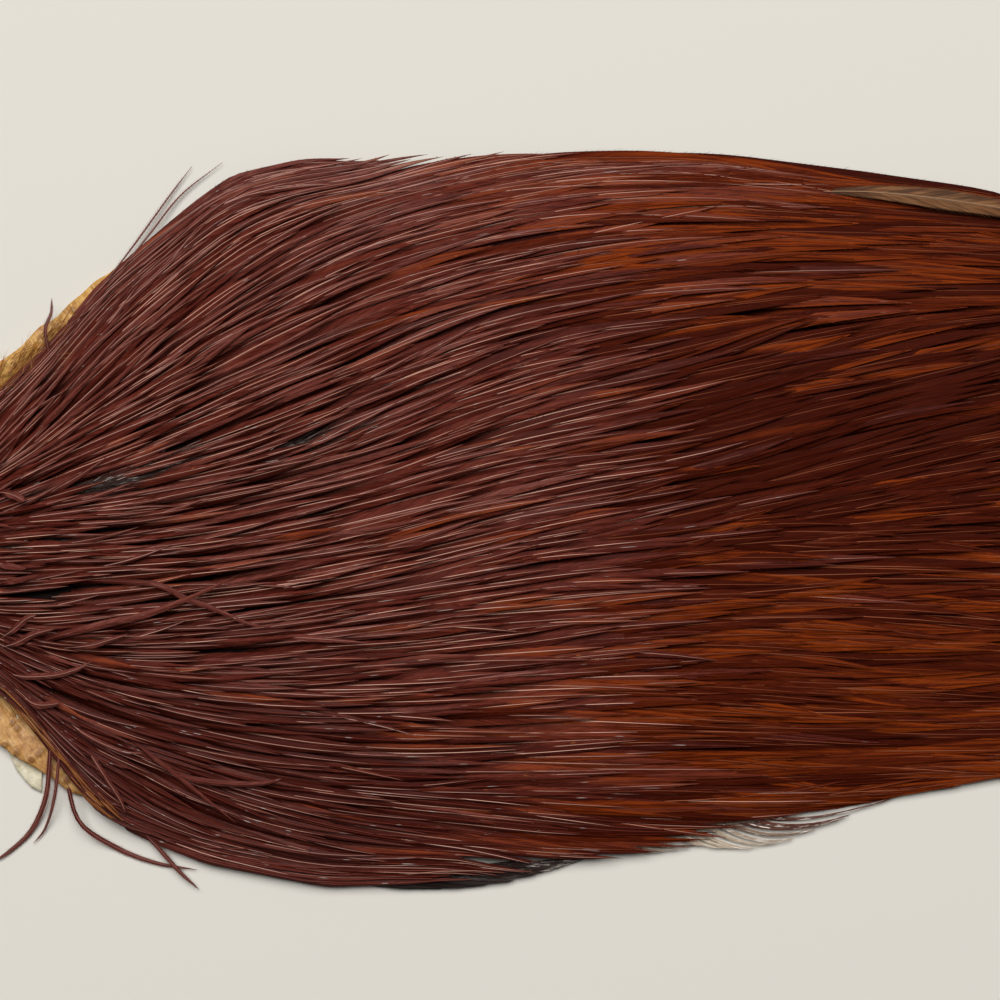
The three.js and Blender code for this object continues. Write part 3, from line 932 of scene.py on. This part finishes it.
# Crossed hackles
# Slender hackles near the head that came out of the lie and cross over their neighbours, with their
# tips curled up. Each is given by places behind the head end and beside the middle line.
CROSSED_HACKLES = (
    ((48.5, -20.6), (56, -18.6), (66.5, -16.6), (76, -15), (86.5, -11.8), (97, -7.6)),
    ((60, -6.4), (70, -7.4), (79, -8.6), (85, -12), (91, -14.6), (98.5, -18.4), (104, -19.4)),
    ((41.5, -24.8), (45.5, -26.8), (50.5, -27.2), (55.5, -27), (60, -26), (63.5, -24.4)),
    ((54, -21.4), (63, -21), (67, -20.2), (72, -19)),
    ((42.5, -6.2), (46, -6), (49.5, -5.6), (53.5, -4.8)),
    ((42.5, -1), (46, -2.4), (50.5, -3.4)),
    ((41.5, -19), (46, -16.8), (49.5, -14.4), (52, -13.6)),
    ((41.5, -20.6), (46.5, -19.6), (51, -17.8), (56, -16.8)),
    ((44.5, -30.2), (49, -33.2), (52.5, -33.6), (55.5, -33.2)),
    ((55, -36.2), (59, -39.6), (64.5, -43), (69, -45), (73, -45.4)),
    ((58, -41.2), (61.5, -46), (64.5, -51.6), (66.5, -55.6), (67.5, -58.6)),
    ((72, -46.4), (78.5, -50), (85, -52.4), (92.5, -53.6), (99, -53.8), (103, -52.8)),
    ((68, -40.8), (74, -45.6), (79.5, -50.6), (85, -55.8), (92, -62.4)),
    ((43.5, 14), (47, 13.4), (49, 12.6), (51, 11.4)),
)


def curve_through(points, count=STATIONS):
    """A smooth curve through a few points."""
    points = np.array(points, float)
    padded = np.vstack([2 * points[0] - points[1], points, 2 * points[-1] - points[-2]])
    place = np.linspace(0, len(points) - 1, count)
    low = np.minimum(place.astype(int), len(points) - 2)
    part = (place - low)[:, None]
    before, start, end, after = (padded[low + step] for step in range(4))
    bend = 2 * before - 5 * start + 4 * end - after
    return start + 0.5 * part * (end - before + part * (bend + part * (3 * start - before - 3 * end + after)))


def crossed_route(places):
    """A route on the coat's surface, lifted a little towards its tip."""
    along, sideways = curve_through([(*place, 0.0) for place in places])[:, :2].T
    surface = coat_height(along, sideways / coat_half_width(along, sideways))
    share = np.linspace(0, 1, len(along))
    return cape_point(along, sideways, surface - 2.0 + 2.8 * smoothstep(share, 0, 0.35) + 0.4 * share**3)


def crossed_hackles():
    draw = np.random.default_rng(17)
    route = np.stack([crossed_route(places) for places in CROSSED_HACKLES])
    across = (route[..., 1] - MIDDLE_Y) / coat_half_width(route[..., 0] - HEAD_X, route[..., 1])
    count = len(route)
    axes = frames(route, coat_tilt(route, across), np.zeros((count, STATIONS)))
    breadth = draw.uniform(0.6, 1.1, count)
    fold = np.radians(draw.uniform(12, 28, count))
    quill_band = QUILL_BAND + draw.integers(0, 2, count)
    band = draw.integers(0, 4, count)
    mesh = feather_mesh(draw, route, axes, breadth, SLENDER, fold, band, quill_band, 40, 0.1)
    make_piece("crossed_hackles", RIBBED, "hackles", "hackle_coat", *mesh)


crossed_hackles()


# Turned hackle
# One long hackle at the far edge that was turned over, so that its pale tan underside is up. It is
# rooted in the coat like the others.
TAN = hackle_surface(
    "turned_hackle", 0.1, 0.5, 22.0, paint(46, 25, 15), paint(136, 90, 56), paint(170, 126, 84),
    paint(112, 68, 38), paint(180, 148, 118), 0.5,
)


def loose_feather(name, surface, seed, slot_node, half_breadth, points, fold, web, barbs, outline=SLENDER,
                  vane_start=0.05):
    draw = np.random.default_rng(seed)
    along, sideways, height = curve_through(points).T
    route = cape_point(along, sideways, height)[None]
    axes = frames(route, np.zeros((1, STATIONS)), np.zeros((1, STATIONS)))
    mesh = feather_mesh(draw, route, axes, np.array([half_breadth]), outline, np.radians([fold]),
                        np.array([3]), np.array([QUILL_BAND + 1]), barbs, vane_start, 2.2, web)
    make_piece(name, surface, "hackles", slot_node, *mesh)


loose_feather(
    "turned_hackle", TAN, 31, "hackle_coat", 2.5,
    [(226, 69.2, 1.2), (242, 67.8, 3.2), (262, 64.2, 3.6), (284, 59, 2.6)], 6, 0.9, 110,
    ([0.05, 0.25, 0.5, 0.8, 0.93, 1.0], [0.05, 0.6, 1.0, 0.8, 0.4, 0.02]), 0.06,
)


# Loose hackles
# Slender hackles that came out of the lie and hang clear of the coat: two long and one short one at the
# near side of the head, one that crosses the near edge, one on the far side's skin and two that bow out
# from the far edge. Their barbs stand apart.
LOOSE = hackle_surface(
    "loose_hackles", 0.15, 0.4, 30.0, paint(64, 20, 16), paint(112, 52, 44), paint(140, 84, 74),
    paint(140, 74, 50), paint(170, 122, 110), 0.3,
)
LOOSE_HACKLES = (
    ("long_stray_hackle", 41, "stray_hackle_long", 0.95,
     [(52, -37, 3.4), (51, -45.6, 3.2), (49.4, -54.4, 2.4), (45.4, -61.8, 0.7), (39.8, -66.5, 0.6),
      (35, -69, 0.6)], 12, 0.6, 60),
    ("thin_stray_hackle", 42, "stray_hackle_thin", 0.6,
     [(53.4, -40, 3.6), (53, -47, 4.2), (51.4, -55, 3.4), (48.6, -61.5, 0.9),
      (45.5, -65, 0.5)], 12, 0.6, 50),
    ("side_stray_hackle", 43, "stray_hackle_side", 0.95,
     [(54.5, -50, 4.4), (56.7, -60.3, 3.6), (64.1, -67, 0.8), (72.7, -71, 0.6),
      (82, -73.2, 0.6)], 12, 0.6, 60),
    ("crossed_stray_hackle", 44, "stray_hackle_crossed", 0.8,
     [(70, -63, 2.4), (74, -68, 2.2), (78, -73.2, 1.8), (82, -77.6, 0.9)], 12, 0.6, 40),
    ("upper_stray_hackle", 45, "stray_hackle_upper", 0.6,
     [(57, 43, 4.2), (56.5, 48.8, 5), (57.9, 52.7, 4.6), (58.1, 56.2, 3.2)], 12, 0.6, 36),
    ("outer_edge_hackle", 46, "edge_hackle_outer", 0.7,
     [(70, 58.5, 3.6), (77, 67, 2), (85, 77, 0.9), (91, 84, 0.6)], 8, 0.3, 40),
    ("inner_edge_hackle", 47, "edge_hackle_inner", 0.7,
     [(74, 61.5, 3.6), (80.5, 69, 2), (88, 77.5, 0.9), (98, 84.4, 0.6)], 8, 0.3, 40),
)
for name, seed, *shape in LOOSE_HACKLES:
    loose_feather(name, LOOSE, seed, *shape)


# Underfeathers
# Soft webby feathers from below the near edge. Their long barbs hold together in separate clumps that
# bend back along the feather and run out to points; one feather is black and two are grey.
def web_surface(name, first, second, lines, shine):
    """Barbs from the first colour, at the root end of the feather, to the second, with pale lines: pale barbs
    on the grey feathers, and painted glints on the black one, where its barbs catch the light.
    """
    surface = Surface(name, roughness=0.55, specular=0.12)
    place = surface.node("ShaderNodeUVMap", "UV", {"uv_map": "OFBake"})
    along, clump = surface.split(place)
    streak = surface.stretched(along, clump, 4.0, 90.0, 3.0, 0.6)
    colour = surface.blend(surface.rise(clump, 0.35, 0.8), first, second)
    colour = surface.blend(surface.rise(streak, 0.3, 0.5, 0.6, 0.0), colour, paint(40, 22, 18))
    # The pale lines show only in the clumps given by shine: on the black feather they are painted glints.
    shown = surface.times(surface.rise(streak, 0.54, 0.64), surface.rise(clump, *shine))
    surface.bump(streak, 0.3, 0.00005)
    return surface.done(surface.blend(shown, colour, lines))


PLUME_STATIONS = 60


def half_plume(draw, points, half_breadth, clumps, barbs, thickness, reach):
    """One half of a soft feather: barbs leave the quill, on the inner side of the curve, and bend back
    along it. Those of a clump run together to one point."""
    along, sideways, height = curve_through(points, PLUME_STATIONS).T
    route = cape_point(along, sideways, height)
    heading = np.gradient(route, axis=0)
    heading /= np.linalg.norm(heading, axis=1, keepdims=True)
    side = np.stack([-heading[:, 1], heading[:, 0], 0 * heading[:, 0]], axis=-1)
    share = np.linspace(0, 1, 10)
    parts = []
    for clump in range(clumps):
        first = (1 - reach) * clump / clumps
        end = min(1.0, first + reach * draw.uniform(0.9, 1.1))
        outward = (0.95 + draw.normal(0, 0.05)) * (1 - 0.75 * smoothstep(end, 0.55, 1.0))
        lift = draw.uniform(0.0, 0.4)
        for barb in range(barbs):
            root = first + 0.8 * (barb + draw.uniform(0, 1)) / barbs * (1 - reach) / clumps
            tip = end + draw.normal(0, 0.012)
            place = (root + (tip - root) * share).clip(0, 1) * (PLUME_STATIONS - 1)
            low = np.minimum(place.astype(int), PLUME_STATIONS - 2)
            part = (place - low)[:, None]
            centre = route[low] * (1 - part) + route[low + 1] * part
            width = outward + draw.normal(0, 0.03)
            lateral = 0.9 - (0.9 + width) * (1 - (1 - share) ** 1.7)
            line = centre + side[low] * (lateral * half_breadth)[:, None] + [0, 0, lift + 0.1 * (barb % 3)]
            along_line = np.gradient(line, axis=0)
            across = np.stack([-along_line[:, 1], along_line[:, 0], 0 * share], axis=-1)
            across /= np.linalg.norm(across, axis=1, keepdims=True)
            across[:, 2] = draw.normal(0, 0.3)
            half = thickness * draw.uniform(0.7, 1.2) * (1 - 0.75 * share**2)[:, None]
            spots = np.stack([line - across * half, line + across * half], axis=1).reshape(-1, 3)
            spots[:, 2] = np.maximum(spots[:, 2], 0.05)
            tone = (clump + 0.5 + draw.uniform(-0.4, 0.4)) / clumps
            places = np.stack([np.repeat(share, 2), np.full(2 * len(share), tone)], axis=-1)
            parts.append((spots, halve(grid_faces(len(share), 2)), places))
    return join(parts)


# The black web's pale lines are painted glints.
BLACK_WEB = web_surface("black_web", paint(26, 15, 13), paint(40, 26, 23), paint(168, 158, 150), (0.5, 0.8))
GREY_WEB = web_surface("grey_web", paint(196, 178, 156), paint(92, 52, 42), paint(226, 216, 204), (0.0, 0.1))
make_piece("black_plume", BLACK_WEB, "black_web", "black_underfeather", *half_plume(
    np.random.default_rng(51),
    [(104, -73, 1), (114, -76, 0.8), (126, -77.6, 0.7), (138, -78.4, 0.7), (150, -78, 0.7), (162, -76.6, 0.6),
     (175, -74, 0.6)],
    2.4, 34, 24, 0.17, 0.3,
))
make_piece("front_grey_plume", GREY_WEB, "grey_web", "grey_underfeather_front", *half_plume(
    np.random.default_rng(52),
    [(166, -68.5, 1), (175, -72.8, 0.7), (185, -74.4, 0.6), (197, -74.2, 0.6)], 1.7, 8, 12, 0.1, 0.5,
))
make_piece("back_grey_plume", GREY_WEB, "grey_web", "grey_underfeather_back", *half_plume(
    np.random.default_rng(53),
    [(181, -67.2, 1), (192, -71.6, 0.7), (205, -73.3, 0.6), (219, -71.2, 0.6), (240, -65.8, 0.6)],
    3.1, 10, 14, 0.1, 0.34,
))


# Stage, light and camera
# The cape lies on a plain pale floor under a broad soft light. The camera looks straight down and is
# turned a little, because the cape lay a little askew in the picture.
FLOOR_HALF = 4.0
FLOOR_GAP = 0.0002


def stage_floor():
    surface = Surface("pale_floor", roughness=0.7, specular=0.3)
    mesh = bpy.data.meshes.new("floor")
    corners = [(x * FLOOR_HALF, y * FLOOR_HALF, 0) for x, y in ((-1, -1), (1, -1), (1, 1), (-1, 1))]
    mesh.from_pydata(corners, [], [(0, 1, 2, 3)])
    mesh.materials.append(surface.done(paint(216, 212, 204)))
    floor = bpy.data.objects.new("floor", mesh)
    floor.location.z = -FLOOR_GAP
    bpy.context.scene.collection.objects.link(floor)


def soft_light(name, place, size, power, colour):
    lamp = bpy.data.lights.new(name, "AREA")
    lamp.shape = "RECTANGLE"
    lamp.size, lamp.size_y = size
    lamp.energy = power
    lamp.color = colour
    light = bpy.data.objects.new(name, lamp)
    light.location = place
    light.rotation_euler = Vector([-value for value in place]).to_track_quat("-Z", "Y").to_euler()
    bpy.context.scene.collection.objects.link(light)


stage_floor()
soft_light("overhead", (-0.3, 1.8, 3.0), (3.0, 2.4), 162.0, (1.0, 0.99, 0.97))

world = bpy.data.worlds.new("studio")
world.use_nodes = True
background = world.node_tree.nodes["Background"]
background.inputs["Color"].default_value = (1, 1, 1, 1)
background.inputs["Strength"].default_value = 0.12
bpy.context.scene.world = world
bpy.context.scene.view_settings.view_transform = "Standard"

PIXEL = 0.22 * MM
PICTURE_CENTRE = (154.6, 4.9)
CAPE_TILT = math.atan(0.065)
CAMERA_DISTANCE = 0.55
PICTURE_PIXELS = 1000
SENSOR_WIDTH = 36.0
COAT_MIDDLE_HEIGHT = 9.0

camera_data = bpy.data.cameras.new("camera")
camera_data.sensor_width = SENSOR_WIDTH
camera_data.lens = SENSOR_WIDTH * CAMERA_DISTANCE / (PICTURE_PIXELS * PIXEL)
camera = bpy.data.objects.new("camera", camera_data)
camera.location = cape_point(*PICTURE_CENTRE, COAT_MIDDLE_HEIGHT + CAMERA_DISTANCE / MM) * MM
camera.rotation_euler = (0, 0, -CAPE_TILT)
bpy.context.scene.collection.objects.link(camera)
bpy.context.scene.camera = camera
